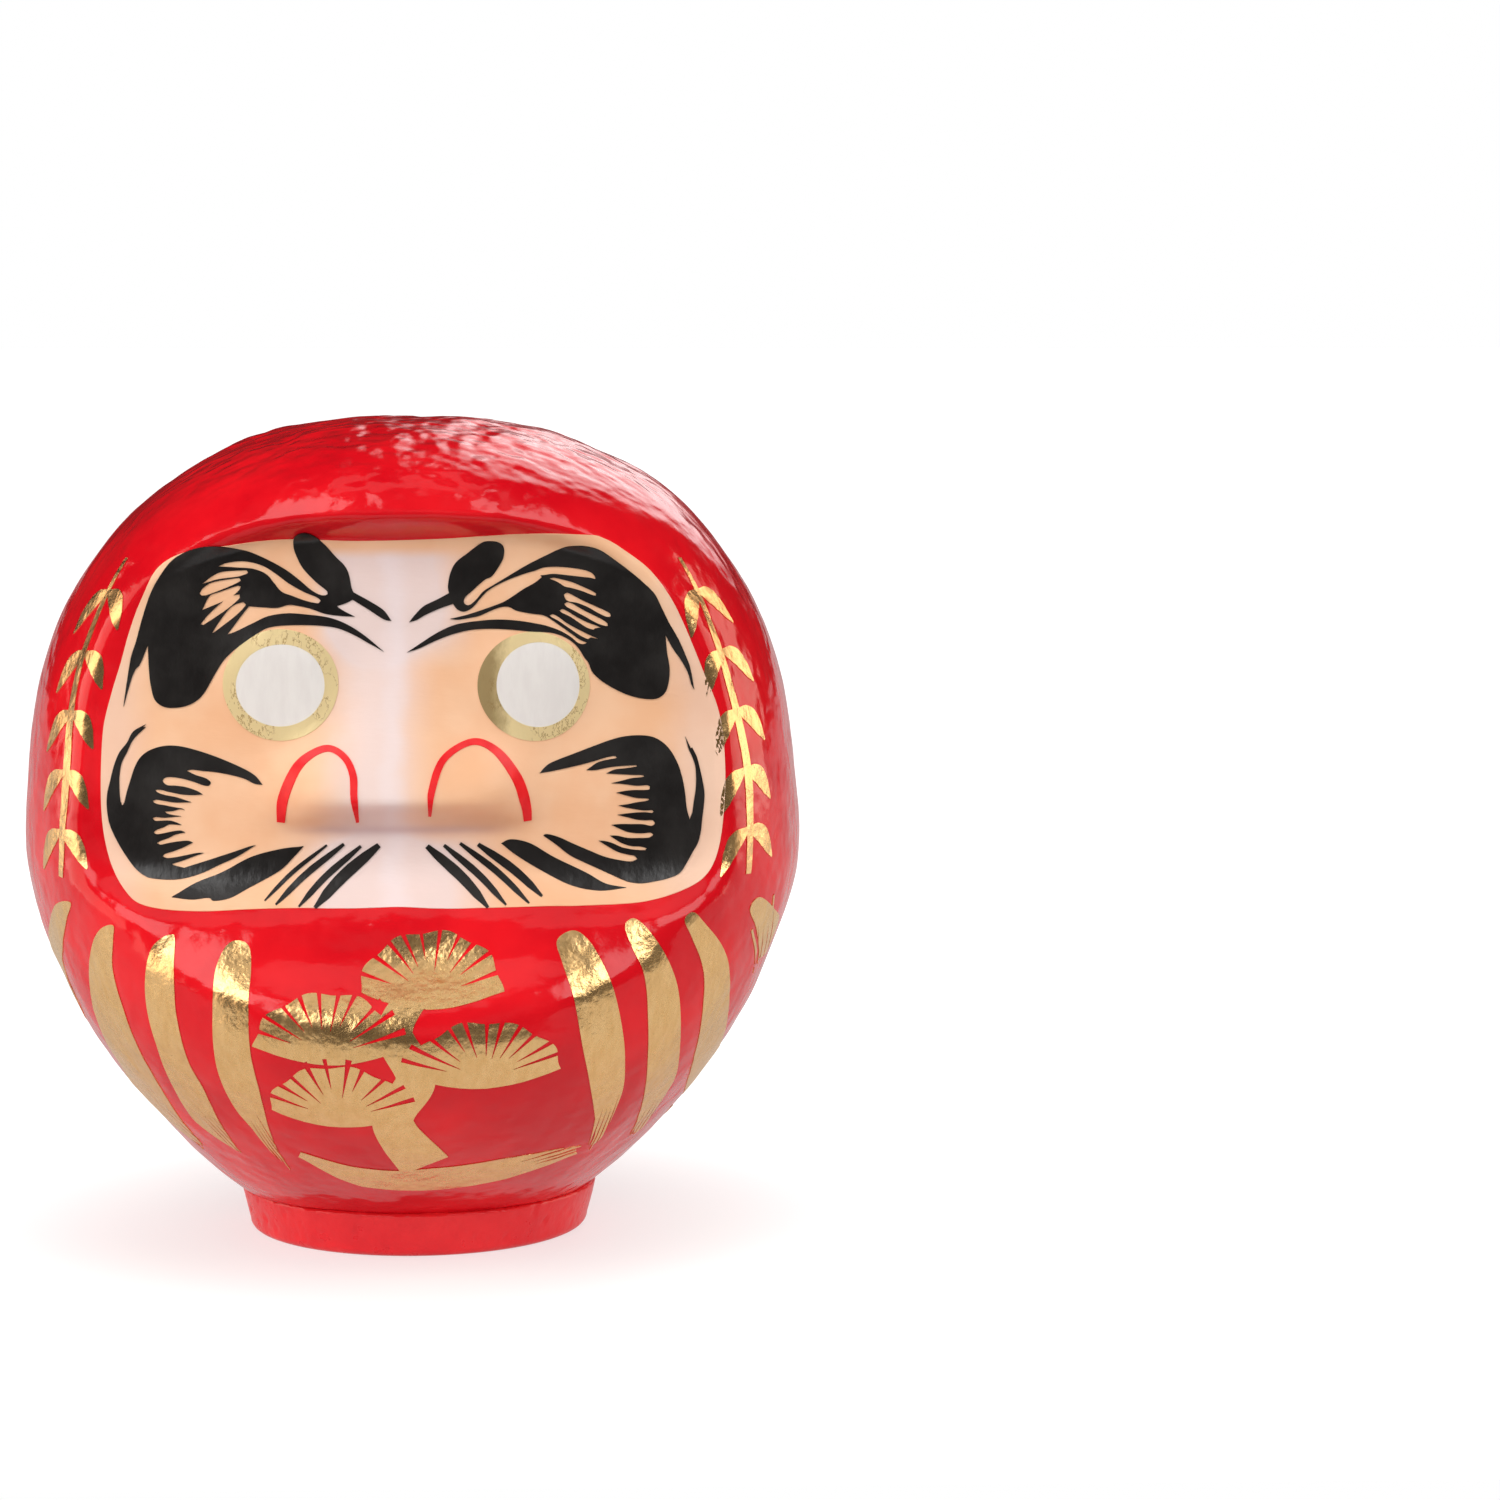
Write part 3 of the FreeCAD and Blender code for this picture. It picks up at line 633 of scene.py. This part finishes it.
right_brow = """118,577/ 170,560 240,527 320,496 400,478 480,474 569,478 658,487 747,492 813,516 858,553
889,600 905,620 925,665 970,705 1030,740 1090,765 1150,778 1205,777 1242,750 1258,695 1260,640 1250,580
1242,500/ 1275,560 1310,610 1340,665 1355,715 1368,738/ 1352,650 1335,600 1300,520 1260,450 1230,390
1195,320 1140,265 1080,215 1020,170 960,130 900,112 850,110 800,118 730,150 650,190 590,225 540,255
490,285 450,310 420,345 395,367 377,370 365,356 372,335 400,310 430,282 460,258 485,247 510,215 535,170
541,130 530,105 500,93 460,93 430,107 380,145 330,185 305,235 296,290 300,318/ 250,345 190,375 150,415
127,445/ 160,435 200,412 260,385 318,365/ 335,388 362,399 390,390 412,372 440,338 470,308 510,283
570,255 640,230 676,220 711,207 764,203 827,207 884,216 920,229 936,247 937,257/ 916,251 880,247
818,240 756,234 716,239 698,240/ 704,248/ 676,271 627,299 582,329 542,354 493,374 436,394 380,412
340,422 305,430/ 340,434 400,424 436,416 480,396 524,380 560,378 591,394 631,403 667,409 707,414
738,429 782,460 836,498 867,520 900,534/ 885,540 862,536 836,514 809,496 773,478 720,460 667,449
613,440 547,434 489,434 436,438 380,445 320,458 250,490 180,535"""
right_slits = ["""738,255 756,251 791,258 836,270 880,289 920,307 941,321 938,329 916,323 880,309 836,296
804,289 787,278 764,265""",
               """800,325 813,316 836,325 880,349 924,369 969,389 1002,407 1004,418 987,421 947,403
907,380 858,360 822,354 807,343""",
               """802,365 813,357 836,363 880,389 924,411 969,434 990,451 991,461 969,458 933,443 889,418
844,394 813,378""",
               """781,394 793,387 818,398 858,423 902,445 938,458 960,468/ 936,471/ 929,477/ 902,469
867,447 827,420 791,403""",
               """738,416 749,410 773,420 813,449 858,474 907,498 951,518/ 916,511/ 904,519/ 871,503
827,474 782,443 747,423"""]
for side, wing, slits, sheet in (("left", left_brow, left_slits, (80, 520, 4.612)),
                                 ("right", right_brow, right_slits, (380, 520, 4.3556))):
    paint("brow_wing_" + side, [traced(wing, sheet)], LACQUER_COAT, lacquer, "brow_" + side,
          bare=[traced(t, sheet) for t in slits])

# The whiskers are tortoises: a mass that curls round the cheek with combed hair along its inner
# edge, and a single long hair outside it.
left_whiskers = """1503,598/ 1440,520 1350,460 1200,390 1050,330 900,280 760,245 640,235 540,250 440,290
370,350 320,440 280,560 250,660 225,760 205,788/ 190,740 180,640 180,520 200,400 250,300 310,180 428,62/
400,66/ 425,38/ 310,105 250,210 180,300 130,420 95,560 68,680 65,800 90,950 150,1090 230,1230 330,1370
420,1445 500,1470 660,1480 800,1462 960,1410 1100,1340 1250,1270 1350,1210 1440,1152/ 1380,1165 1250,1210
1100,1260 950,1310 780,1365/ 700,1345 668,1330/ 760,1300 850,1265 962,1224/ 900,1225 800,1245 700,1265
620,1272 583,1255 600,1235 680,1210 780,1170 860,1130/ 820,1113 750,1115 650,1130 560,1148 530,1135
560,1115 640,1085 700,1055 790,1035/ 750,1018 690,1022 600,1040 530,1052 500,1034 530,1010 600,985
640,962 755,965/ 700,940 640,925 560,927 510,927 489,907 520,893 600,900 750,885/ 680,875 620,860
598,843/ 680,838 740,820 785,830/ 760,815 700,805 600,785 520,770 490,745 520,733 600,745 700,760
845,757/ 780,735 700,710 600,690 540,670 516,645 560,643 650,665 750,685 850,692 950,687/ 900,655
800,620 700,605 620,600 580,560 610,530 680,528 780,545 880,575 960,603 1010,605 1025,580 1000,550
960,530 880,505 805,468/ 850,458 950,470 1060,480 1200,505 1330,540 1430,588"""
right_whiskers = """80,377/ 130,320 200,275 380,205 550,140 700,85 820,55 940,45 1050,55 1130,90 1200,150
1260,240 1300,330 1330,440 1350,550 1365,680 1390,778/ 1412,720 1430,600 1445,480 1440,330 1410,230
1380,165 1350,55/ 1400,160/ 1410,150/ 1450,230 1475,320 1500,430 1518,540 1515,640 1500,780 1490,880
1465,980 1420,1060 1370,1150 1310,1240 1220,1285 1110,1315 980,1337 880,1330 800,1305 700,1260 560,1195
420,1130 330,1080 230,1000 160,950 115,915 130,905 170,907 260,935 380,990 520,1050 640,1100 760,1130
870,1145 935,1125/ 905,1095 850,1085 760,1060 680,1015 595,963/ 650,965 720,985 800,1020 900,1040
1005,1045 1015,1030 960,1015 880,1010 800,985 740,950 693,918/ 760,920 850,938 950,940 1040,935
1075,907 1050,893 980,898 900,895 830,880 760,850 708,825/ 780,818 880,818 980,820 1060,834 1088,810
1070,785 1000,785 930,780 850,760 760,737/ 850,725 930,718 1010,715 1065,722 1075,707 1060,697
1000,700 920,690 840,675 768,657/ 850,645 920,630 1000,618 1037,608 1030,597 1000,595 920,590 840,570
750,545/ 820,530 900,522 1000,522 1040,515 1043,490 1020,480 930,485 850,475 780,467 707,463/ 800,440
880,420 950,412 992,405 985,394 960,392 880,390 780,385 660,378/ 730,345 800,335 880,325 928,317
925,306 820,312 720,320 640,335 560,350 487,350/ 530,320 580,285 650,262 720,250 755,240 740,228
700,230 640,245 560,270 450,300 300,335 180,360"""
for side, mass, sheet in (("left", left_whiskers, (100, 720, 9.2235)),
                          ("right", right_whiskers, (530, 730, 8.7111))):
    paint("whiskers_" + side, [traced(mass, sheet)], LACQUER_COAT, lacquer, "beard_" + side)

# Under the nose hangs the moustache: on each side one broad swept stroke and four thin ones, each
# set down at the top and lifted off to a point.


def brush_line(stops, widths, fineness=1.5):
    """The outline of one stroke of a brush, as wide along its way as widths says."""
    stops = np.asarray(stops, float)
    centre = np.array(bend(stops, fineness) + [stops[-1]])
    spread = np.interp(np.linspace(0, 1, len(centre)), np.linspace(0, 1, len(widths)), widths)
    along = np.gradient(centre, axis=0)
    along /= np.maximum(np.linalg.norm(along, axis=1, keepdims=True), 1e-9)
    across = np.column_stack([-along[:, 1], along[:, 0]]) * spread[:, None] / 2
    return np.vstack([centre + across, (centre - across)[::-1]])


broad = {"left": """172,899/ 196,884 222,873 251,857 280,849 304,846/ 294,857 280,871 251,888 231,899
214,902 209,899 192,901""",
         "right": "501,843/ 511,839 530,843 554,857 586,873 605,884 626,888/ 598,891 569,885 540,870 516,855"}
hairs = {"left": [(327, 845, 265, 902, 4.5), (344, 844, 276, 906, 7), (361, 846, 299, 908, 7),
                  (379, 845, 315, 909, 12)],
         "right": [(427, 846, 488, 909, 11), (444, 845, 506, 906, 7.5), (460, 843, 529, 904, 7),
                   (478, 844, 542, 897, 9)]}
for side, sign in (("left", 1), ("right", -1)):
    strokes = [traced(broad[side])]
    for x0, y0, x1, y1, wide in hairs[side]:
        bow = ((x0 + x1) / 2 - 2.5 * sign, (y0 + y1) / 2 - 1.5)
        widths = [0.45 * wide, 0.85 * wide, wide, 0.95 * wide, 0.8 * wide, 0.25 * wide]
        strokes.append(read_through_camera(brush_line([(x0, y0), bow, (x1, y1)], widths)))
    paint("moustache_hair_" + side, strokes, LACQUER_COAT, lacquer, "moustache_" + side, 0.8)

# A red arch is drawn over each nostril, in one stroke of enamel with a fine round brush. The stroke
# is thickest on its outer leg and thins towards the inner one.
arch_red, place, shader = finish("arch_red")
wear(shader, Base_Color=place.speckle(300, 3).step(0.3, 0.7).mix((0.80, 0.006, 0.012), (0.90, 0.018, 0.020)),
     Roughness=0.32, Specular_IOR_Level=0.3, Normal=place.speckle(600, 2).bump(0.25, 0.0004))
arches = {"left": [(281, 822), (283.7, 798), (296, 769), (312, 754), (329.6, 748.6), (345, 758), (353, 775.5),
                   (354, 798), (357.6, 822)],
          "right": [(527.4, 820), (525, 804), (516, 778), (496, 751), (472, 742), (444, 759), (432, 790),
                    (429.7, 816)]}
for side, stops in arches.items():
    loop = read_through_camera(brush_line(stops, [8, 10.5, 10, 9, 7, 6.5, 7, 7.5, 7, 3]))
    paint("nostril_arch_" + side, [loop], ARCH_COAT, arch_red, "nostril_" + side, 0.8)

# Gold ribs run down each side of the belly. Each is one loaded stroke that starts blunt at the
# chest, swells, and ends near the foot in the split bristles of a drying brush.
gold, place, shader = finish("gold_paint")
streak = place.speckle(520, 4, 0.65, (1, 1, 0.22))
dust = place.speckle(2600, 2, 0.7)
thin = place.speckle(90, 5, 0.7)
leaf = streak.step(0.2, 0.8).mix((0.82, 0.50, 0.20), (0.93, 0.61, 0.28))
leaf = (dust.step(0.60, 0.72) * 0.4).mix(leaf, (0.40, 0.23, 0.08))
hammered = place.speckle(150, 3, 0.55).bump(0.42, 0.0015)
wear(shader, Base_Color=leaf, Metallic=1.0, Roughness=0.18 + 0.12 * thin + 0.08 * dust,
     Normal=(dust * 0.5 + place.speckle(800, 2)).bump(0.2, 0.0005, hammered))

ribs = {"left": ["""238,941 226,947 215,972 212,1006 213,1049 220,1080 236,1111 261,1137 285,1163/ 277,1147
268,1125 259,1092 250,1055 248,1006 251,968 249,947""",
                """171,935 161,939 151,951 146,978 148,1013 159,1053 173,1086 193,1117 220,1139 240,1151/
236,1145 220,1121 204,1092 187,1060 176,1013 174,972 175,939""",
                """115,925 103,928 94,945 91,972 96,1006 108,1039 130,1078 159,1109 183,1131 204,1145/
183,1119 159,1084 136,1041 122,1002 114,968 115,939""",
                """73,902 59,903 51,919 50,937 59,962 87,1019/ 66,970 65,947 69,919"""],
        "right": ["""573,931 557,941 562,962 574,998 582,1043 590,1084 595,1125 590,1145/ 601,1135 616,1106
624,1080 624,1039 616,998 605,968 589,941""",
                 """634,918 625,926 632,947 644,974 648,1011 647,1055 643,1096 634,1135/ 646,1125 662,1100
676,1072 679,1027 677,986 666,955 648,929""",
                 """693,912 685,920 692,937 701,962 703,990 698,1035 689,1076 681,1102/ 701,1076 718,1049
727,1013 728,974 722,947 703,921""",
                 """760,897 750,909 756,929 759,958/ 766,951 777,921 775,911"""]}


def dry_end(tip, start, width, bristles, seed):
    """The end of a stroke where the brush ran dry: fine lines of paint past its tip, and bare ones."""
    draw = random.Random(seed)
    tip, start = np.array(tip), np.array(start)
    along = (tip - start) / np.linalg.norm(tip - start)
    across = np.array([-along[1], along[0]])
    lines, streaks = [], []
    for i in range(bristles):
        aside = ((i + 0.5) / bristles - 0.5) * 0.7 * width + draw.uniform(-0.2, 0.2)
        foot = tip + across * aside * 0.5
        end = foot + along * draw.uniform(-1.5, 2)
        lines.append(brush_line([start + across * aside, foot - along * 3, end], [0.7, 0.8, 0.6, 0.15], 0.6))
        aside += 0.35 * width / bristles
        foot = tip + across * aside * 0.7 + along * 2
        streaks.append(brush_line([foot - along * draw.uniform(8, 15), foot - along * 4, foot],
                                  [0.05, 0.3, 0.45, 0.5], 0.6))
    return lines, streaks


for side, outlines in ribs.items():
    strokes, bare = [], []
    for i, text in enumerate(outlines):
        outline = traced(text)
        strokes.append(outline)
        tip = outline[outline[:, 1].argmin()]
        above = outline[np.abs(outline[:, 1] - tip[1] - 11) < 2.5]
        lines, streaks = dry_end(tip, above.mean(0), np.ptp(above[:, 0]), 4, 20 + i)
        strokes += lines
        bare += streaks
    paint("belly_ribs_" + side, strokes, FIRST_COAT, gold, "ribs_" + side, 1.1, bare)

# Each side carries an upright gold sprig beside the face: a long stem and five pairs of leaves, in
# quick single strokes with a thin brush, straight on the enamel.
SPRIG_TURN = 57.0
SPRIG_TOP = 150.0
SPRIG_BOTTOM = 84.0
LEAF_PAIRS = 5


def on_skin(stops, turn_degrees):
    """Outline points given in millimetres across and up, about an upright line at a turn."""
    stops = np.asarray(stops, float)
    return np.column_stack([math.radians(turn_degrees) * UNROLL + stops[:, 0], stops[:, 1]])


for side, sign in (("left", -1), ("right", 1)):
    stem = [(0, SPRIG_TOP), (-1, 126), (1, 105), (0, SPRIG_BOTTOM)]
    sprig = [brush_line(stem, [1.6, 2.6, 3.0, 3.2, 2.2], 0.6)]
    for i in range(LEAF_PAIRS):
        z = SPRIG_TOP - 2 - 62 * (i + 0.4) / LEAF_PAIRS
        for way in (-1, 1):
            tip = (way * 11.0, z - 8.0 + way)
            sprig.append(brush_line([(way * 0.5, z), (tip[0] / 2 + way, (z + tip[1]) / 2 + 1.5), tip],
                                    [1.2, 3.6, 4.6, 3.4, 0.5], 0.6))
    paint("side_sprig_gold_" + side, [on_skin(s, sign * SPRIG_TURN) for s in sprig], FIRST_COAT, gold,
          "side_sprig_" + side, 0.9)

# The front of the belly has a lucky pine: four fans of needles on a bent trunk, over a sweep of
# ground, in broad loaded strokes of the same gold that run together where they cross.


def on_front(points):
    """Outline points given in millimetres across and up, as seen from the front."""
    x, z = np.asarray(points, float).T
    reach = swell(z, WIDEST_HEIGHT, WIDTH / 2, CROWN_POWER)
    power = 2 + SQUARENESS * smooth((z - FOOT_HEIGHT) / 50)
    return np.column_stack([UNROLL * np.arcsin(np.sign(x) * (np.abs(x) / reach) ** (power / 2)), z])


FAN_HEIGHT = 11
fans = ((6, 64, 14.5, 11), (-15, 53, 15, 11), (17, 47.5, 15.5, 12), (-13, 38.5, 14.5, 11))
draw = random.Random(8)
pine = [brush_line([(5, 66), (-1, 57), (3, 47), (-2, 37), (4, 25)], [5, 7, 8, 8, 9, 11], 0.6)]
gaps = []
for x, z, half_width, needles in fans:
    fan = []
    for i in range(61):
        lean = math.radians(3 * i - 90)
        puff = 1 + 0.035 * math.sin(9 * lean + x)
        fan.append((x + half_width * puff * math.sin(lean), z + FAN_HEIGHT * puff * math.cos(lean)))
    fan += [(x + half_width * (1 - i / 6), z - 3.2 * math.sin(math.pi * i / 12)) for i in range(1, 12)]
    pine.append(fan)
    for i in range(1, needles):
        lean = math.radians(168 * i / needles - 84 + draw.uniform(-2, 2))
        reach = [(x + half_width * t * math.sin(lean), z - 1 + 12 * t * math.cos(lean))
                 for t in (draw.uniform(0.38, 0.6), 0.8, 1.15)]
        gaps.append(brush_line(reach, [0.1, 0.6, draw.uniform(0.9, 1.4)], 0.6))
pine.append(brush_line([(-22, 27.5), (-8, 21.5), (8, 21), (35, 26)], [1.5, 5.5, 7, 6, 2.5], 0.6))
ends, streaks = dry_end((35, 26), (24, 23.5), 5, 3, 4)
paint("belly_pine_gold", [on_front(s) for s in pine + ends], FIRST_COAT, gold, "belly_pine",
      1.1, [on_front(s) for s in gaps + streaks])

# The doll stands on a plain white floor that runs off into a white background, between soft boxes. The
# floor stops short in front, so that the belly mirrors a dim room, and the crown mirrors a bright wall.
FLOOR_SIDE = 6000
FLOOR_FRONT = -215
FLOOR_BACK = 9000
corners = [(-FLOOR_SIDE, FLOOR_FRONT, 0), (FLOOR_SIDE, FLOOR_FRONT, 0), (FLOOR_SIDE, FLOOR_BACK, 0),
           (-FLOOR_SIDE, FLOOR_BACK, 0)]
floor = mesh_object("floor", corners, [(0, 1, 2, 3)])
floor_white, place, shader = finish("floor_white")
x, y, z = place.axes()
# The floor's glow, as the camera sees it, is turned down within 150 mm of the middle: a painted shadow round
# the foot.
past_painted_shadow = (x * x + y * y).math("SQRT").step(0.04, 0.15)
seen = Wire(floor_white.node_tree).node("LightPath", output=0)
floor_glow_and_painted_shadow = seen.mix((0.36, 0.36, 0.36), past_painted_shadow.mix((0.61, 0.61, 0.61), (1.0, 1.0, 1.0)))
wear(shader, Base_Color=(0.38, 0.38, 0.38, 1), Roughness=0.7, Specular_IOR_Level=0.2,
     Emission_Color=floor_glow_and_painted_shadow, Emission_Strength=1.0)
floor.data.materials.append(floor_white)

world = bpy.data.worlds.new("studio")
bpy.context.scene.world = world
world.use_nodes = True
tree = world.node_tree
background = next(n for n in tree.nodes if n.type == "BACKGROUND")
x, y, z = Wire(tree).node("TexCoord", output=0).axes()
backdrop = y.step(0.3, 0.7) * x.step(-0.06, 0.12) * (1 - x.step(0.32, 0.46)) * z.step(0.08, 0.22)
dark = y.step(-0.3, 0.2).mix((0.11, 0.10, 0.09), (0.02, 0.02, 0.02))
room = backdrop.mix(dark, (2.2, 2.2, 2.2))
wall = Wire(tree).node("LightPath", output=0).mix(room, (1.0, 1.0, 1.0))
tree.links.new(wall.socket, background.inputs["Color"])


def softbox(name, place, aim, size, glow, tint=(1, 1, 1), glossy=True):
    """A soft box: glow is how bright its face is, and glossy whether the enamel mirrors it."""
    light = bpy.data.objects.new(name, bpy.data.lights.new(name, "AREA"))
    light.data.shape = "RECTANGLE"
    light.data.size, light.data.size_y = size
    light.data.energy = glow * math.pi * size[0] * size[1]
    light.location = place
    light.rotation_euler = (Vector(aim) - Vector(place)).to_track_quat("-Z", "Y").to_euler()
    light.data.color = tint
    light.visible_glossy = glossy
    bpy.context.scene.collection.objects.link(light)


middle = (0, 0, 0.09)
softbox("overhead", (0.0, -0.15, 1.15), middle, (0.9, 0.5), 0.8)
softbox("front_left", (-0.70, -0.78, 0.94), middle, (0.6, 0.9), 4.0)
softbox("front_right", (0.80, -0.72, 0.94), middle, (0.6, 0.9), 4.0)
softbox("left_wall", (-1.1, -0.08, 0.28), middle, (1.3, 0.75), 2.3, (1.0, 0.84, 0.72))
softbox("right_wall", (1.05, 0.30, 0.28), middle, (0.75, 0.75), 2.4, (1.0, 0.82, 0.68))
softbox("front_fill", (-0.2, -1.7, 0.6), middle, (1.8, 1.2), 1.75, glossy=False)

bpy.context.scene.view_settings.view_transform = "Standard"
